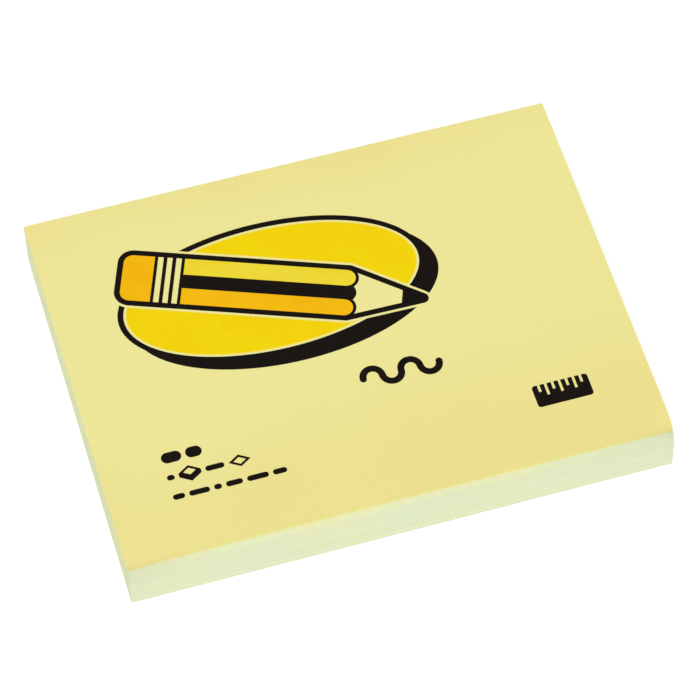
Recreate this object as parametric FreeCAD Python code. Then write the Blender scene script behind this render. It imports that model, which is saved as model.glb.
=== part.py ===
import FreeCAD, Part
import math
import os

# A sticky note pad, in millimetres. A pile of notes is stuck together along its back edge, under a
# printed cover sheet and over a plain backing sheet. X runs along the glued back edge, Y from the
# free front edge to the back, Z up, and the origin is on the ground under the middle of the pad.
# The pile leans to the back a little, as soft adhesive lets it, so each note lies a hair further
# back than the one below. Each ink is a thin film on the cover, and what is cut out of a film
# shows bare paper.

# Paper
pad_length = 102.0
pad_depth = 76.0
note_count = 100
glued_pitch = 0.096       # height of one note in the pile, at the glued back edge
free_pitch = 0.1          # the same at the free front edge, where the notes lie looser
lean_back = 1.0           # how much further back the highest note lies than the lowest
cover_thickness = 0.1
backing_thickness = 0.1
bundle_notes = 4          # the cut edges show as bundles of notes
bundle_step = 0.05        # how far every other bundle stands back from the cut edge

# Print in general
print_margin = 11.5       # bare paper between the print and each edge of the cover
ink_film = 0.02
outline_width = 1.1
halo_width = 0.5          # bare line between a black outline and the colour beside it

# Badge: an oval with a black outline, and a black shadow to its right and front
badge_length = 58.5
badge_width = 29.0
shadow_right = 1.9
shadow_front = 2.3

# Pencil across the badge, its point to the right and front
pencil_angle = -21.0
pencil_width = 10.0
rubber_length = 6.0
ferrule_length = 5.0
barrel_length = 31.0
wood_length = 10.0
lead_length = 3.8
rubber_corner = 1.8
pencil_line = 0.6         # black lines between the parts of the pencil
stripe_width = 3.0        # the black stripe along the middle of the barrel
ferrule_bands = 2
ferrule_band = 0.7

# Wavy stroke below the badge
wave_gap = 9.3            # from the badge's front side to the middle of the stroke
wave_indent = 10.4        # from the badge's middle to the start of the stroke
wave_radius = 1.8
wave_halves = 4
wave_stroke = 1.3

# Rows of dashes in the front left corner, with a small pad and a small sheet. A dash is a stroke
# with round ends, and its length is that of the stroke, without the ends.
row_pitch = 4.1
dash_gap = 0.8
thin_stroke = 1.1
bold_stroke = 2.2
dashes_bold_row = [1.5, 0.8]
dashes_short_row = [0.3, 2.4]
dashes_long_row = [1.1, 2.7, 0.3, 2.0, 2.9, 1.5]
symbol_length = 4.1
symbol_width = 2.5
symbol_line = 0.45
symbol_side = 0.8         # height of the little pad's side

# Ruler in the front right corner
ruler_length = 10.6
ruler_width = 4.6
ruler_corner = 0.6
notch_count = 7
notch_width = 0.5
notch_long = 2.4
notch_short = 1.5


def pitch_at(y):
    """Height of one note at depth y, from the loose front edge to the glued back edge."""
    return free_pitch + (glued_pitch - free_pitch) * (y / pad_depth + 0.5)


def lean_at(count):
    """How far back the pile lies above so many notes, measured from the middle of its lean."""
    return lean_back * (count / note_count - 0.5)


def layer(notes_below, notes, extra, inset=0.0):
    """A sheet or a bundle above so many notes, thicker by extra and drawn in all round by inset."""
    half = pad_length / 2 - inset

    def corner(y, count, more=0.0):
        height = backing_thickness + count * pitch_at(y) + more
        return FreeCAD.Vector(-half, y + lean_at(count), height)

    front = -pad_depth / 2 + inset
    back = pad_depth / 2 - inset
    top = notes_below + notes
    corners = [corner(front, notes_below), corner(back, notes_below),
               corner(back, top, extra), corner(front, top, extra)]
    side = Part.Face(Part.makePolygon(corners + corners[:1]))
    return side.extrude(FreeCAD.Vector(2 * half, 0, 0))


def backing_sheet():
    """The flat sheet that covers the lowest note's adhesive."""
    corner = FreeCAD.Vector(-pad_length / 2, -pad_depth / 2 + lean_at(0), 0)
    return Part.makeBox(pad_length, pad_depth, backing_thickness, corner)


def note_block():
    """All the notes as one solid, its cut edges stepping in and out bundle by bundle."""
    bundles = []
    for index, below in enumerate(range(0, note_count, bundle_notes)):
        notes = min(bundle_notes, note_count - below)
        bundles.append(layer(below, notes, 0.0, bundle_step * (index % 2)))
    return bundles[0].multiFuse(bundles[1:])


def cover_sheet():
    """The printed sheet on top, which follows the slope of the pile."""
    return layer(note_count, 0, cover_thickness)


# The print is drawn flat, with the middle of the cover as the origin.

def polygon(points):
    """A flat shape with straight sides."""
    corners = [FreeCAD.Vector(x, y, 0) for x, y in points]
    return Part.Face(Part.makePolygon(corners + corners[:1]))


def rectangle(x_low, x_high, y_low, y_high):
    return polygon([(x_low, y_low), (x_high, y_low), (x_high, y_high), (x_low, y_high)])


def disc(x, y, radius):
    edge = Part.makeCircle(radius, FreeCAD.Vector(x, y, 0))
    return Part.Face(Part.Wire(edge))


def oval(length, width):
    edge = Part.Ellipse(FreeCAD.Vector(0, 0, 0), length / 2, width / 2).toShape()
    return Part.Face(Part.Wire(edge))


def joined(shapes):
    """Flat shapes merged into one, with no lines left between them."""
    faces = [face for shape in shapes for face in shape.Faces]
    fused = faces[0].multiFuse(faces[1:])
    return Part.makeShell(fused.Faces).removeSplitter()


def grown(shape, distance):
    """A flat shape made larger all round, with round corners."""
    return shape.Faces[0].makeOffset2D(distance)


def moved(shape, x, y, turn=0.0):
    """A copy of a flat shape, turned about the origin and then moved."""
    copy = shape.copy()
    turned = FreeCAD.Rotation(FreeCAD.Vector(0, 0, 1), turn)
    copy.Placement = FreeCAD.Placement(FreeCAD.Vector(x, y, 0), turned).multiply(copy.Placement)
    return copy


def rounded_rectangle(x_low, x_high, y_low, y_high, radius):
    """A rectangle with its four corners rounded."""
    parts = [rectangle(x_low + radius, x_high - radius, y_low, y_high),
             rectangle(x_low, x_high, y_low + radius, y_high - radius)]
    for x in (x_low + radius, x_high - radius):
        for y in (y_low + radius, y_high - radius):
            parts.append(disc(x, y, radius))
    return joined(parts)


# Stations along the pencil, measured from its middle.
pencil_length = rubber_length + ferrule_length + barrel_length + wood_length + lead_length
ferrule_start = -pencil_length / 2 + rubber_length
barrel_start = ferrule_start + ferrule_length
wood_start = barrel_start + barrel_length
lead_start = wood_start + wood_length
pencil_end = lead_start + lead_length


def pencil_shape():
    """The whole pencil: a rounded rubber end, straight sides and a point."""
    half = pencil_width / 2
    end = rounded_rectangle(-pencil_length / 2, barrel_start, -half, half, rubber_corner)
    barrel = rectangle(ferrule_start, wood_start, -half, half)
    point = polygon([(wood_start, -half), (pencil_end, 0), (wood_start, half)])
    return joined([end, barrel, point])


def rubber():
    stretch = rectangle(-pencil_length, ferrule_start - pencil_line / 2,
                        -pencil_width, pencil_width)
    return pencil_shape().common(stretch)


def ferrule():
    """The metal ferrule between its black bands."""
    metal = rectangle(ferrule_start + pencil_line / 2, barrel_start - pencil_line / 2,
                      -pencil_width / 2, pencil_width / 2)
    spacing = ferrule_length / (ferrule_bands + 1)
    for band in range(ferrule_bands):
        middle = ferrule_start + spacing * (band + 1)
        metal = metal.cut(rectangle(middle - ferrule_band / 2, middle + ferrule_band / 2,
                                    -pencil_width, pencil_width))
    return metal


def barrel_side(low, high):
    """One long side of the barrel, which ends in the wood in a round lobe."""
    end = wood_start - pencil_line
    side = rectangle(barrel_start + pencil_line / 2, end, low, high)
    return joined([side, disc(end, (low + high) / 2, (high - low) / 2)])


def front_side():
    return barrel_side(-pencil_width / 2, -stripe_width / 2)


def back_side():
    return barrel_side(stripe_width / 2, pencil_width / 2)


def wood():
    """The sharpened wood, clear of the barrel's lobes by a black line."""
    stretch = rectangle(wood_start - pencil_line, lead_start, -pencil_width, pencil_width)
    bare = pencil_shape().common(stretch)
    stripe = barrel_side(-stripe_width / 2, stripe_width / 2)
    for side in (front_side(), stripe, back_side()):
        bare = bare.cut(grown(side, pencil_line))
    return bare


def badge_middle():
    """The middle of the badge on the cover: it keeps the margin to the left and back edges."""
    x = -pad_length / 2 + print_margin + badge_length / 2
    y = pad_depth / 2 - print_margin - badge_width / 2
    return x, y


def placed_pencil(shape):
    return moved(shape, *badge_middle(), pencil_angle)


def placed_badge(shape):
    """A piece of the badge in its place, with room left for the pencil and its halo."""
    room = placed_pencil(grown(pencil_shape(), outline_width + halo_width))
    return moved(shape, *badge_middle()).cut(room)


def badge_black():
    """The badge's outline and its shadow."""
    outside = oval(badge_length, badge_width)
    shadow = moved(outside, shadow_right, -shadow_front)
    inside = oval(badge_length - 2 * outline_width, badge_width - 2 * outline_width)
    return placed_badge(joined([outside, shadow]).cut(inside))


def badge_golden():
    border = 2 * (outline_width + halo_width)
    return placed_badge(oval(badge_length - border, badge_width - border))


def pencil_black():
    """The pencil's outline, the lines between its parts, the bands, the stripe and the lead."""
    black = grown(pencil_shape(), outline_width)
    for part in (rubber(), ferrule(), wood(), front_side(), back_side()):
        black = black.cut(part)
    return placed_pencil(black)


def wave():
    """A wavy stroke: half rings up and down in turn, with round ends."""
    thick = wave_radius + wave_stroke / 2
    thin = wave_radius - wave_stroke / 2
    parts = []
    for half in range(wave_halves):
        middle = wave_radius * (1 + 2 * half)
        ring = disc(middle, 0, thick).cut(disc(middle, 0, thin))
        side = 1 if half % 2 == 0 else -1
        keep = rectangle(middle - thick, middle + thick, min(0, side * thick), max(0, side * thick))
        parts.append(ring.common(keep))
    for x in (0, 2 * wave_radius * wave_halves):
        parts.append(disc(x, 0, wave_stroke / 2))
    x, y = badge_middle()
    return moved(joined(parts), x + wave_indent, y - badge_width / 2 - wave_gap)


def lozenge(x, y, shrink=0.0):
    """A flat sheet seen from a corner, its sides drawn in by shrink."""
    ratio = 1 - shrink * 2 * math.hypot(1 / symbol_length, 1 / symbol_width)
    across = symbol_length / 2 * ratio
    up = symbol_width / 2 * ratio
    return polygon([(x - across, y), (x, y - up), (x + across, y), (x, y + up)])


def sheet_symbol(x, y):
    return lozenge(x, y).cut(lozenge(x, y, symbol_line))


def pad_symbol(x, y):
    """The sheet symbol with a black side below it."""
    half = symbol_length / 2
    low = y - symbol_side / 2
    high = y + symbol_side / 2
    side = rectangle(x - half, x + half, low, high)
    return joined([lozenge(x, high), lozenge(x, low), side]).cut(lozenge(x, high, symbol_line))


def dash(x, y, length, stroke):
    """A stroke with round ends, its left end at x."""
    start = x + stroke / 2
    line = rectangle(start, start + length, y - stroke / 2, y + stroke / 2)
    return joined([line, disc(start, y, stroke / 2), disc(start + length, y, stroke / 2)])


def dash_row(left, y, lengths, stroke):
    """Dashes side by side, from left to right."""
    row = []
    for length in lengths:
        row.append(dash(left, y, length, stroke))
        left += length + stroke + dash_gap
    return row


def symbol_row(left, y):
    """A dash and the pad symbol, then a dash and the sheet symbol."""
    row = []
    for length, symbol in zip(dashes_short_row, (pad_symbol, sheet_symbol)):
        row.append(dash(left, y, length, thin_stroke))
        left += length + thin_stroke + dash_gap
        row.append(symbol(left + symbol_length / 2, y))
        left += symbol_length + dash_gap
    return row


def small_rows():
    """Three rows that keep the margin to the left and front edges."""
    left = -pad_length / 2 + print_margin
    low = -pad_depth / 2 + print_margin + thin_stroke / 2
    return (dash_row(left, low, dashes_long_row, thin_stroke)
            + symbol_row(left, low + row_pitch)
            + dash_row(left, low + 2 * row_pitch, dashes_bold_row, bold_stroke))


def ruler():
    """A little black ruler with bare notches, short and long in turn, along its back side."""
    right = pad_length / 2 - print_margin
    front = -pad_depth / 2 + print_margin
    left = right - ruler_length
    back = front + ruler_width
    shape = rounded_rectangle(left, right, front, back, ruler_corner)
    spacing = ruler_length / (notch_count + 1)
    for notch in range(notch_count):
        middle = left + spacing * (notch + 1)
        depth = notch_long if notch % 2 else notch_short
        shape = shape.cut(rectangle(middle - notch_width / 2, middle + notch_width / 2,
                                    back - depth, back + notch_width))
    return shape


def on_cover(*flat_shapes):
    """Films of ink: the flat shapes made solid and laid on the sloping cover."""
    films = []
    for shape in flat_shapes:
        for face in shape.Faces:
            films.append(face.extrude(FreeCAD.Vector(0, 0, ink_film)))
    rise = note_count * (free_pitch - glued_pitch)
    slope = math.degrees(math.atan2(rise, pad_depth))
    middle = backing_thickness + note_count * pitch_at(0) + cover_thickness
    tilt = FreeCAD.Rotation(FreeCAD.Vector(1, 0, 0), -slope)
    ink = Part.makeCompound(films)
    ink.Placement = FreeCAD.Placement(FreeCAD.Vector(0, lean_at(note_count), middle), tilt)
    return ink


def build():
    """Every piece of the pad by its name."""
    return {
        "backing_sheet": backing_sheet(),
        "note_block": note_block(),
        "cover_sheet": cover_sheet(),
        "badge_golden_ink": on_cover(badge_golden()),
        "badge_black_ink": on_cover(badge_black()),
        "pencil_black_ink": on_cover(pencil_black()),
        "pencil_orange_ink": on_cover(placed_pencil(front_side()), placed_pencil(rubber())),
        "pencil_yellow_ink": on_cover(placed_pencil(back_side())),
        "wavy_line_ink": on_cover(wave()),
        "small_rows_ink": on_cover(*small_rows()),
        "ruler_ink": on_cover(ruler()),
    }


os.makedirs("parts", exist_ok=True)
for name, shape in build().items():
    shape.exportStep("parts/" + name + ".step")
    box = shape.BoundBox
    corners = [round(v, 2) for v in (box.XMin, box.XMax, box.YMin, box.YMax, box.ZMin, box.ZMax)]
    print(name, len(shape.Solids), shape.isValid(), round(shape.Volume, 3), corners)
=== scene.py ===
import math
import bpy
import numpy as np
from mathutils import Matrix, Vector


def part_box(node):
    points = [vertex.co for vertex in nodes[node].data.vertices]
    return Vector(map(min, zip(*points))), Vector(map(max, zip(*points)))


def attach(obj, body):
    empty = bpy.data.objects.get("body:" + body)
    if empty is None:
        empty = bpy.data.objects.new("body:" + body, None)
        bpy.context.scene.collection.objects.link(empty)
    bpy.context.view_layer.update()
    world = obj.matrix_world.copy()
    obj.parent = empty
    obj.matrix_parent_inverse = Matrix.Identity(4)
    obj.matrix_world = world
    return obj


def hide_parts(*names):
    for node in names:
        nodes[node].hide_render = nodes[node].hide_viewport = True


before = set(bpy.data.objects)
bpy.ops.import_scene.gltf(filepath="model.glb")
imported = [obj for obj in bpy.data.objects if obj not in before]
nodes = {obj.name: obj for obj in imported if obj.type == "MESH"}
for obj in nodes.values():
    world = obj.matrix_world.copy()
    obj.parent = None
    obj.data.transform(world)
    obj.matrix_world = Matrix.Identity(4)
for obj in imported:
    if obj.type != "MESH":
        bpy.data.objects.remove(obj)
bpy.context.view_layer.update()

# The pad lies on its backing sheet: +X runs along the glued back edge, -Y is the free front edge.
# Everything is in metres. Sizes that the frame doesn't give are written in millimetres, times MM.
MM = 0.001
SEED = 4211

# Sizes that the frame gives
backing_low, backing_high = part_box("backing_sheet")
_, block_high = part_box("note_block")
cover_low, cover_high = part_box("cover_sheet")
LENGTH = cover_high.x - cover_low.x
DEPTH = cover_high.y - cover_low.y
LEFT = cover_low.x
FRONT = cover_low.y
BACK = FRONT + DEPTH
LEAN = FRONT - backing_low.y                  # how much further back the cover lies
PILE_BOTTOM = backing_high.z
PILE_FRONT = block_high.z - PILE_BOTTOM       # height of the pile of notes at its free front edge
PILE_BACK = cover_low.z - PILE_BOTTOM         # and at its glued back edge
COVER_THICKNESS = cover_high.z - block_high.z

# The pile of notes
NOTE_COUNT = 100
NOTE_PAPER = 0.089 * MM           # thickness of one note's paper
GAP_SPREAD = 0.6                  # how unevenly the slack is shared out between the notes
GAP_WAVES = 3                     # waves of that along the pad
GAP_WAVE_SPREAD = GAP_SPREAD / 3  # how uneven each of them makes it
BUNDLE = 7                        # notes that moved together when the pad was last handled
BUNDLE_SHIFT = 0.016 * MM         # how far a bundle may lie out of line
NOTE_SHIFT = 0.01 * MM            # and a note within its bundle
NOTE_STEPS = (24, 10)             # faces of one note along X and along Y
NOTE_CROWDING = 4                 # how strongly those along Y crowd towards the front edge

# The cover sheet
COVER_STEPS = (68, 52)
COVER_CROWDING = 2

# The cutter's blade drew the upper sheets back along the front edge, though not at its ends
DRAW = 0.3 * MM                   # how far the cover is drawn back
DRAW_DEEP = 0.9 * MM              # how deep under the cover that is felt
DRAW_FADE = 6                     # power with which it fades from the front to the back

# It left them in a dip behind the edge, slight in the middle, where they roll down in front of
# it, and deeper at both ends, where they turn up to the edge
DIP_BACK = 1.2 * MM               # how far behind the edge they lie lowest
DIP_MIDDLE = 0.1                  # share of the slack pressed out there
DIP_ENDS = 0.42
ROLL_REACH = 0.5 * MM             # how far behind the edge the roll begins
ROLL_MIDDLE = 0.17                # share of the slack pressed out at the very edge
END_RISE = 6                      # power of the distance from the middle, for what the ends change

# The front right corner has been pressed down and bumped blunt
CORNER_REACH = 9.0 * MM
CORNER_PRESS = 0.65               # share of the slack pressed out at the corner
PRESS_DEPTH = 6.0 * MM            # how deep in the pile the dip, the roll and the press are felt
BUMP_REACH = 2.5 * MM
BUMP_SHIFT = 0.35 * MM            # how far the cover's corner was pushed in, along each axis
BUMP_DEEP = 1.5 * MM              # how deep under the cover that is felt

# Edges between faces that turn by more than this stay crisp
CRISP_ANGLE = math.radians(30)

# The patterns of paper and ink, with widths and heights in millimetres
GRAIN_WIDTH = 0.8                 # the grain within the clouds of the dye
GRAIN_SHARE = 0.25
NOISE_RANGE = (0.38, 0.62)        # where such noise mostly lies, spread out to the whole range
COCKLE_WIDTH = 26.0
TOOTH_WIDTH = 0.3                 # three times the real one, which is too fine to show
PAPER_CLOUDS = 30.0
PAPER_TOOTH = 0.012               # height of its tooth
PAPER_COCKLE = 0.15               # height of a dry sheet's cockle
PAPER_ROUGHNESS = 0.9
PAPER_SPECULAR = 0.15

# Painted shade on the cover: over the clouds of its paper, its colour is made deeper towards the
# free front edge, and less so towards the back one
SHADE_CLOUDS = (0.07, 0.37)       # share of the deeper shade in the clouds of its paper
FRONT_PAINTED_SHADE = 0.62                # painted shade added to that at the front
FRONT_PAINTED_SHADE_REACH = 34.0 * MM     # how far behind the front edge that begins
FRONT_PAINTED_SHADE_FULL = 4.0 * MM       # and where it is full
# painted shade added at the back edge
BACK_PAINTED_SHADE = 0.46
BACK_PAINTED_SHADE_REACH = 13.0 * MM

# The cut edges of the notes differ a little in how light they are
EDGE_TONES = (0.957, 1.0)

# The camera that saw the pad
AZIMUTH = math.radians(-18.02)
ELEVATION = math.radians(58.23)
ROLL = math.radians(1.497)
DISTANCE = 647.46 * MM
TARGET = (1.555 * MM, 1.323 * MM, 0.0)
FOCAL_PIXELS = 3480.2
IMAGE_PIXELS = 700
SENSOR = 36.0                     # width of the sensor in millimetres, which a lens is written in

# Light
SKY = 0.6                         # what the sky gives a surface that faces it
KEY_STRENGTH = 1.64
KEY_ELEVATION = math.radians(50)
KEY_AZIMUTH = math.radians(-30)
KEY_SOFTNESS = math.radians(60)
FLOOR_REACH = 3.0                 # in metres, from the middle to each side
FLOOR_DROP = 0.02 * MM            # below the backing sheet, so that they don't share a plane
FLOOR_LIFT = 0.32                 # added to the floor for the eye alone


def linear(code):
    """A colour written as sRGB hex, as the linear values that Blender works in."""
    channels = np.array([int(code[i:i + 2], 16) for i in (1, 3, 5)]) / 255
    values = np.where(channels <= 0.04045, channels / 12.92, ((channels + 0.055) / 1.055) ** 2.4)
    return (*values.tolist(), 1.0)


def add(tree, kind, settings=None, links=None):
    """Adds a node, sets its inputs or properties by name, and links its inputs.

    A link names an output, or a node whose first output in use is meant.
    """
    node = tree.nodes.new(kind)
    inputs = {socket.identifier: socket for socket in node.inputs}
    for name, value in (settings or {}).items():
        if name in inputs:
            inputs[name].default_value = value
        else:
            setattr(node, name, value)
    for name, source in (links or {}).items():
        if isinstance(source, bpy.types.Node):
            source = next(output for output in source.outputs if output.enabled)
        tree.links.new(source, inputs[name])
    return node


def new_material(name):
    """A material with an empty node tree, and that tree."""
    material = bpy.data.materials.new(name)
    material.use_nodes = True
    material.node_tree.nodes.clear()
    return material, material.node_tree


def object_place(tree):
    """The place of a point in metres, as the piece's own coordinates."""
    return add(tree, "ShaderNodeTexCoord").outputs["Object"]


def noise(tree, place, width, detail, roughness=0.5):
    """Noise whose broadest features are that many millimetres wide."""
    return add(tree, "ShaderNodeTexNoise",
               {"Scale": 1 / (width * MM), "Detail": detail, "Roughness": roughness},
               {"Vector": place})


def clouds(tree, place, width, low=0.0, high=1.0):
    """Soft clouds from low to high, as fibres settle on the wire, with a finer grain in them."""
    both = add(tree, "ShaderNodeMix", {"data_type": "FLOAT", "Factor_Float": GRAIN_SHARE},
               {"A_Float": noise(tree, place, width, detail=2.0),
                "B_Float": noise(tree, place, GRAIN_WIDTH, detail=2.0)})
    return add(tree, "ShaderNodeMapRange",
               {"From Min": NOISE_RANGE[0], "From Max": NOISE_RANGE[1],
                "To Min": low, "To Max": high}, {"Value": both})


def between(tree, first, second, share):
    """A colour between two close shades of one dye or ink."""
    return add(tree, "ShaderNodeMix",
               {"data_type": "RGBA", "A_Color": linear(first), "B_Color": linear(second)},
               {"Factor_Float": share})


def plus(tree, first, second):
    """The sum of two values."""
    return add(tree, "ShaderNodeMath", {"operation": "ADD"},
               {"Value": first, "Value_001": second})


def larger(tree, first, second):
    """The larger of two values."""
    return add(tree, "ShaderNodeMath", {"operation": "MAXIMUM"},
               {"Value": first, "Value_001": second})


def grown_along_y(tree, place, start, full, most):
    """Grows along Y from nothing at the start, as a smooth step, to the most where it is full."""
    along = add(tree, "ShaderNodeSeparateXYZ", links={"Vector": place}).outputs["Y"]
    return add(tree, "ShaderNodeMapRange",
               {"interpolation_type": "SMOOTHSTEP", "From Min": start, "From Max": full,
                "To Max": most}, {"Value": along})


def paper_bumps(tree, place, tooth, cockle):
    """The felt's fine tooth and a dry sheet's slight cockle, from their heights in millimetres."""
    under = add(tree, "ShaderNodeBump", {"Distance": cockle * MM},
                {"Height": noise(tree, place, COCKLE_WIDTH, detail=1.0)})
    return add(tree, "ShaderNodeBump", {"Distance": tooth * MM},
               {"Height": noise(tree, place, TOOTH_WIDTH, detail=3.0, roughness=0.6),
                "Normal": under})


def finish(tree, colour, normal, roughness, specular):
    """The surface itself: paper and dry ink are matt, with a faint sheen at a low angle."""
    shader = add(tree, "ShaderNodeBsdfPrincipled",
                 {"Roughness": roughness, "Specular IOR Level": specular},
                 {"Base Color": colour, "Normal": normal})
    add(tree, "ShaderNodeOutputMaterial", links={"Surface": shader})


def paper(name, first, second, width=PAPER_CLOUDS, tooth=PAPER_TOOTH, roughness=PAPER_ROUGHNESS):
    """Uncoated wood-free paper, dyed in the pulp: cloudy close up, and quite matt."""
    material, tree = new_material(name)
    place = object_place(tree)
    colour = between(tree, first, second, clouds(tree, place, width))
    finish(tree, colour, paper_bumps(tree, place, tooth, PAPER_COCKLE), roughness, PAPER_SPECULAR)
    return material


def cover_paper_with_painted_shade(name, first, second):
    """The same paper on top of the pad, with painted shade: a little deeper in colour near its
    front edge, and less so near its back edge.
    """
    material, tree = new_material(name)
    place = object_place(tree)
    # painted shade: the colour deepens towards the front and back edges, over the paper's own
    # clouds
    front = grown_along_y(tree, place, FRONT + FRONT_PAINTED_SHADE_REACH, FRONT + FRONT_PAINTED_SHADE_FULL,
                          FRONT_PAINTED_SHADE)
    back = grown_along_y(tree, place, BACK - BACK_PAINTED_SHADE_REACH, BACK, BACK_PAINTED_SHADE)
    share = plus(tree, plus(tree, front, back), clouds(tree, place, PAPER_CLOUDS, *SHADE_CLOUDS))
    finish(tree, between(tree, first, second, share),
           paper_bumps(tree, place, PAPER_TOOTH, PAPER_COCKLE), PAPER_ROUGHNESS, PAPER_SPECULAR)
    return material


def cut_edges(name, first, second):
    """Guillotined edges of the pile: the open fibres scatter the light, so the dye looks paler."""
    material, tree = new_material(name)
    place = object_place(tree)
    level = add(tree, "ShaderNodeAttribute", {"attribute_name": "note_tone"}).outputs["Fac"]
    shade = add(tree, "ShaderNodeMapRange", {"To Min": EDGE_TONES[0], "To Max": EDGE_TONES[1]},
                {"Value": level})
    dyed = between(tree, first, second, clouds(tree, place, width=24.0))
    toned = add(tree, "ShaderNodeVectorMath", {"operation": "SCALE"},
                {"Vector": dyed, "Scale": shade})
    finish(tree, toned, paper_bumps(tree, place, tooth=0.01, cockle=0.0),
           roughness=0.95, specular=0.1)
    return material


def ink(name, first, second):
    """Offset ink on uncoated paper: it sinks in, so the paper's tooth still shows, and is matt."""
    material, tree = new_material(name)
    place = object_place(tree)
    finish(tree, between(tree, first, second, clouds(tree, place, width=6.0)),
           paper_bumps(tree, place, tooth=0.008, cockle=PAPER_COCKLE),
           roughness=0.75, specular=0.08)
    return material


def sheet_faces(across, along, first):
    """The faces of closed slabs whose top and bottom are grids, and which of them are on the rim.

    Each slab, from its first point on, has its bottom grid's points and then its top grid's.
    Faces run along the grid's rows on top, against them below, and once round the rim.
    """
    width = across + 1
    points = width * (along + 1)
    row, column = np.mgrid[0:along, 0:across]
    corner = (row * width + column).ravel()
    top = np.stack([corner, corner + 1, corner + width + 1, corner + width], axis=1) + points
    bottom = top[:, ::-1] - points
    grid = np.arange(points).reshape(along + 1, width)
    ring = np.concatenate([grid[0, :-1], grid[:-1, -1], grid[-1, :0:-1], grid[:0:-1, 0]])
    after = np.roll(ring, -1)
    rim = np.stack([ring, after, after + points, ring + points], axis=1)
    one = np.concatenate([top, bottom, rim])
    is_rim = np.arange(len(one)) >= len(top) + len(bottom)
    faces = (one[None] + first[:, None, None]).reshape(-1, 4)
    return faces, np.tile(is_rim, len(first))


def slabs_mesh(name, bottom, top, materials):
    """One mesh of closed slabs, from arrays of slab, row, column and coordinate."""
    count, rows, columns, _ = bottom.shape
    points = np.stack([bottom, top], axis=1).reshape(-1, 3)
    faces, is_rim = sheet_faces(columns - 1, rows - 1, np.arange(count) * rows * columns * 2)
    mesh = bpy.data.meshes.new(name)
    mesh.vertices.add(len(points))
    mesh.vertices.foreach_set("co", points.astype(np.float32).ravel())
    mesh.loops.add(faces.size)
    mesh.loops.foreach_set("vertex_index", faces.astype(np.int32).ravel())
    mesh.polygons.add(len(faces))
    mesh.polygons.foreach_set("loop_start", np.arange(0, faces.size, 4, dtype=np.int32))
    for material in materials:
        mesh.materials.append(material)
    mesh.polygons.foreach_set("material_index", is_rim.astype(np.int32))
    mesh.update(calc_edges=True)
    mesh.validate()
    mesh.shade_smooth()
    mesh.set_sharp_from_angle(angle=CRISP_ANGLE)
    piece = bpy.data.objects.new(name, mesh)
    bpy.context.scene.collection.objects.link(piece)
    return piece


def grid_places(steps, crowding):
    """Places along X and along Y of a sheet's grid, from its front left corner.

    Those along X follow half a turn of a cosine, so that they stand closest at both ends. Those
    along Y are the depth times an even share to the power of the crowding, so that they stand
    closest at the front edge, where the sheets bend.
    """
    x = LENGTH / 2 * (1 - np.cos(np.linspace(0, math.pi, steps[0] + 1)))
    y = DEPTH * np.linspace(0, 1, steps[1] + 1) ** crowding
    return x, y


def gap_shares(x):
    """How the pile's slack is shared out, as an array of gap and place along X that adds up to 1.

    Each gap has a weight, e to the power of a random level plus a few cosine waves along X, and
    its share is its weight over the sum of all the weights at that place.
    """
    rng = np.random.default_rng(SEED)
    gaps = NOTE_COUNT + 1
    level = rng.normal(0, GAP_SPREAD, (gaps, 1))
    size = rng.normal(0, GAP_WAVE_SPREAD, (gaps, GAP_WAVES, 1))
    phase = rng.uniform(0, 2 * math.pi, (gaps, GAP_WAVES, 1))
    turns = np.arange(1, GAP_WAVES + 1)[None, :, None] * math.pi / LENGTH
    waves = (size * np.cos(turns * x + phase)).sum(axis=1)
    weight = np.exp(level + waves)
    return weight / weight.sum(axis=0)


def near_ends(x):
    """From 0 in the middle of the pad's length to 1 at its ends, as a power of the distance."""
    return np.abs(2 * x / LENGTH - 1) ** END_RISE


def near_corner(x, y, reach):
    """From 0 at the reach from the front right corner to 1 at it, as a square, over Y and X."""
    away = np.hypot(LENGTH - x, y[:, None])
    return np.clip(1 - away / reach, 0, 1) ** 2


def pressed(x, y):
    """The share of the slack that is pressed out under the cover, over a grid of Y and X.

    The dip follows u times e to the power 1 - u, where u is the distance from the front edge over
    that of the lowest place, and grows towards the ends. The roll falls off with the square of
    the distance from the edge, and is gone at the ends. The press is the corner's alone.
    """
    u = y[:, None] / DIP_BACK
    dip = (DIP_MIDDLE + (DIP_ENDS - DIP_MIDDLE) * near_ends(x)) * u * np.exp(1 - u)
    near_edge = np.clip(1 - y / ROLL_REACH, 0, 1)[:, None] ** 2
    roll = ROLL_MIDDLE * (1 - near_ends(x)) * near_edge
    return dip + roll + CORNER_PRESS * near_corner(x, y, CORNER_REACH)


def under_cover(order):
    """How deep sheets lie under the cover, by their number from the bottom of the pile."""
    return (NOTE_COUNT - order)[:, None, None] / NOTE_COUNT * PILE_FRONT


def moved_in(x, y, order):
    """How far the points of sheets are moved in along X and along Y, over sheet, Y and X.

    The blade's draw fades towards the ends and, as a power, towards the back. It and the bump at
    the corner fade with the depth under the cover, each as a falling exponential.
    """
    deep = under_cover(order)
    cover_draw = DRAW * (1 - near_ends(x)) * (1 - y / DEPTH)[:, None] ** DRAW_FADE
    draw = cover_draw * np.exp(-deep / DRAW_DEEP)
    bump = BUMP_SHIFT * near_corner(x, y, BUMP_REACH) * np.exp(-deep / BUMP_DEEP)
    return -bump, draw + bump


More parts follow.
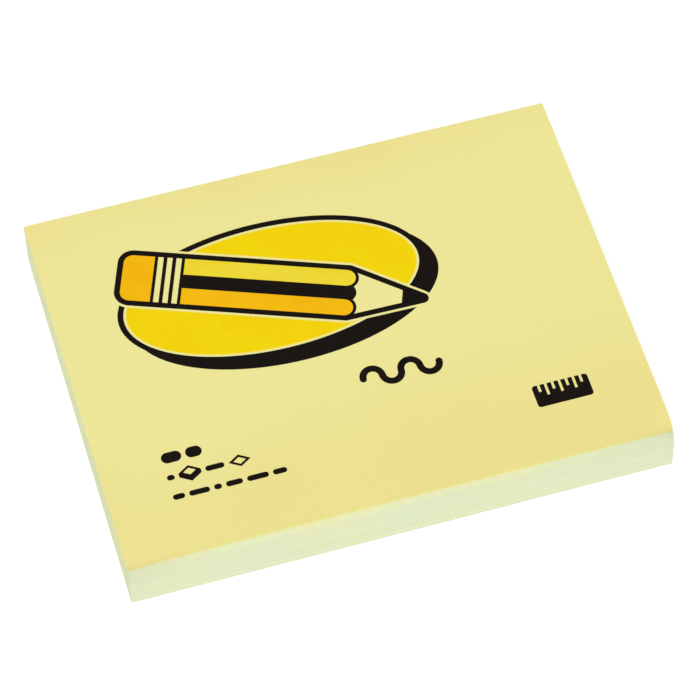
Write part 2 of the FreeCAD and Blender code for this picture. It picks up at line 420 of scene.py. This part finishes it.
def undersides(x, y):
    """Heights of the undersides of all notes and the cover, over a grid of sheet, Y and X.

    A sheet's underside is the bottom of the pile, plus the paper of the notes below it, plus the
    gaps below it. A gap is its share of the slack, less what is pressed out, which fades with the
    depth under the cover as a falling exponential. The slack is what the pile's height leaves over
    the paper, and that height changes evenly from the front edge to the glued back edge.
    """
    pile = PILE_FRONT + (PILE_BACK - PILE_FRONT) * y / DEPTH
    slack = (pile - NOTE_COUNT * NOTE_PAPER)[None, :, None]
    order = np.arange(NOTE_COUNT + 1)
    kept = 1 - pressed(x, y)[None] * np.exp(-under_cover(order) / PRESS_DEPTH)
    gaps = slack * gap_shares(x)[:, None, :] * kept
    return PILE_BOTTOM + (order * NOTE_PAPER)[:, None, None] + np.cumsum(gaps, axis=0)


def stack_of_sheets(x, y, order, bottoms, thickness, shift_x, shift_y):
    """Bottom and top grids of sheets of one thickness, moved sideways, as arrays of points."""
    in_x, in_y = moved_in(x, y, order)
    bottom = np.stack([LEFT + x + in_x + shift_x[:, None, None],
                       FRONT + y[:, None] + in_y + shift_y[:, None, None],
                       bottoms], axis=-1)
    return bottom, bottom + np.array([0, 0, thickness])


def set_tone(piece, values):
    """Gives each point of a piece its shade of the cut edges, from 0 for dark to 1 for light."""
    attribute = piece.data.attributes.new("note_tone", "FLOAT", "POINT")
    attribute.data.foreach_set("value", values.astype(np.float32))


def note_pile(face, edge):
    """The loose notes, each a closed slab of paper.

    Each note lies a hundredth of the lean further back than the one below it, and is moved
    sideways by a random amount of its bundle's and one of its own.
    """
    rng = np.random.default_rng(SEED + 1)
    x, y = grid_places(NOTE_STEPS, NOTE_CROWDING)
    index = np.arange(NOTE_COUNT)
    bundles = rng.uniform(-BUNDLE_SHIFT, BUNDLE_SHIFT, (2, NOTE_COUNT // BUNDLE + 1))
    shift = bundles[:, index // BUNDLE] + rng.uniform(-NOTE_SHIFT, NOTE_SHIFT, (2, NOTE_COUNT))
    lean = LEAN * ((index + 0.5) / NOTE_COUNT - 1)
    bottoms = undersides(x, y)[:NOTE_COUNT]
    bottom, top = stack_of_sheets(x, y, index, bottoms, NOTE_PAPER, shift[0], shift[1] + lean)
    piece = slabs_mesh("note_pile", bottom, top, [face, edge])
    set_tone(piece, np.repeat(rng.uniform(0, 1, NOTE_COUNT), len(x) * len(y) * 2))
    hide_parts("note_block")
    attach(piece, "root")


def printed_cover(face, edge):
    """The cover sheet, which follows the top note: flat under the print, bent at the front edge."""
    x, y = grid_places(COVER_STEPS, COVER_CROWDING)
    bottoms = undersides(x, y)[NOTE_COUNT:]
    order = np.array([NOTE_COUNT])
    still = np.zeros(1)
    bottom, top = stack_of_sheets(x, y, order, bottoms, COVER_THICKNESS, still, still)
    piece = slabs_mesh("printed_cover", bottom, top, [face, edge])
    set_tone(piece, np.ones(len(x) * len(y) * 2))
    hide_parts("cover_sheet")
    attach(piece, "root")


def finish_nodes():
    """The backing sheet and each film of ink get a finish of their own in place of the CAD's."""
    black = ink("matt_black_offset_ink", "#0D0704", "#130C07")
    finishes = {
        "backing_sheet": paper("release_paper", "#E4E3D2", "#E0E0D0",
                               width=18.0, tooth=0.004, roughness=0.6),
        "badge_golden_ink": ink("golden_offset_ink", "#F3D504", "#F2CF02"),
        "pencil_orange_ink": ink("orange_offset_ink", "#F4BB0C", "#F2B407"),
        "pencil_yellow_ink": ink("light_yellow_offset_ink", "#EFDA3A", "#ECD42E"),
        "badge_black_ink": black,
        "pencil_black_ink": black,
        "wavy_line_ink": black,
        "small_rows_ink": black,
        "ruler_ink": black,
    }
    for name, material in finishes.items():
        nodes[name].data.materials.clear()
        nodes[name].data.materials.append(material)


def seen_rays(tree):
    """One for a ray that shows a surface to the camera, straight, in gloss or through glass."""
    rays = add(tree, "ShaderNodeLightPath").outputs
    direct = larger(tree, rays["Is Camera Ray"], rays["Is Glossy Ray"])
    return larger(tree, direct, rays["Is Transmission Ray"])


def floor():
    """A wide pale floor, which the eye sees lifted to white, with the pad's shadow still on it."""
    mesh = bpy.data.meshes.new("floor")
    signs = [(-1, -1), (1, -1), (1, 1), (-1, 1)]
    corners = [(x * FLOOR_REACH, y * FLOOR_REACH, -FLOOR_DROP) for x, y in signs]
    mesh.from_pydata(corners, [], [(0, 1, 2, 3)])
    piece = bpy.data.objects.new("floor", mesh)
    bpy.context.scene.collection.objects.link(piece)
    material, tree = new_material("pale_floor")
    matt = add(tree, "ShaderNodeBsdfDiffuse", {"Color": linear("#F2F2F2")})
    lift = add(tree, "ShaderNodeMapRange", {"To Max": FLOOR_LIFT}, {"Value": seen_rays(tree)})
    glow = add(tree, "ShaderNodeEmission", links={"Strength": lift})
    both = add(tree, "ShaderNodeAddShader", links={"Shader": matt, "Shader_001": glow})
    add(tree, "ShaderNodeOutputMaterial", links={"Surface": both})
    mesh.materials.append(material)


def sky():
    """An even white sky: white to the eye, and a plain level of light to everything else."""
    world = bpy.data.worlds.new("soft_sky")
    world.use_nodes = True
    tree = world.node_tree
    tree.nodes.clear()
    strength = add(tree, "ShaderNodeMapRange", {"To Min": SKY, "To Max": 1.0},
                   {"Value": seen_rays(tree)})
    light = add(tree, "ShaderNodeBackground", {"Color": linear("#FFFFFF")},
                {"Strength": strength})
    add(tree, "ShaderNodeOutputWorld", links={"Surface": light})
    bpy.context.scene.world = world


def key_light():
    """A broad soft lamp from the front left, far away, so the light is the same all over."""
    lamp = bpy.data.lights.new("key_light", "SUN")
    lamp.energy = KEY_STRENGTH
    lamp.angle = KEY_SOFTNESS
    piece = bpy.data.objects.new("key_light", lamp)
    piece.rotation_euler = (math.pi / 2 - KEY_ELEVATION, 0, KEY_AZIMUTH)
    bpy.context.scene.collection.objects.link(piece)


def camera():
    """The camera, turned to its target from an azimuth and an elevation, and rolled."""
    back = np.array([math.sin(AZIMUTH) * math.cos(ELEVATION),
                     -math.cos(AZIMUTH) * math.cos(ELEVATION), math.sin(ELEVATION)])
    level = np.cross([0, 0, 1], back)
    level /= np.linalg.norm(level)
    rise = np.cross(back, level)
    right = math.cos(ROLL) * level + math.sin(ROLL) * rise
    up = math.cos(ROLL) * rise - math.sin(ROLL) * level
    place = np.eye(4)
    place[:3, 0] = right
    place[:3, 1] = up
    place[:3, 2] = back
    place[:3, 3] = np.array(TARGET) + back * DISTANCE
    lens = bpy.data.cameras.new("camera")
    lens.sensor_width = SENSOR
    lens.lens = FOCAL_PIXELS * SENSOR / IMAGE_PIXELS
    piece = bpy.data.objects.new("camera", lens)
    bpy.context.scene.collection.objects.link(piece)
    piece.matrix_world = Matrix(place.tolist())
    bpy.context.scene.camera = piece


camera()
sky()
key_light()
floor()
edges = cut_edges("guillotined_note_edges", "#E3ECCE", "#DDECD8")
note_pile(paper("yellow_note_paper", "#ECE497", "#EBE08F"), edges)
# the cover's paper carries painted shade towards its front and back edges
printed_cover(cover_paper_with_painted_shade("printed_cover_paper_with_painted_shade", "#EEE79A", "#EBDF8D"), edges)
finish_nodes()
bpy.context.scene.view_settings.view_transform = "Standard"
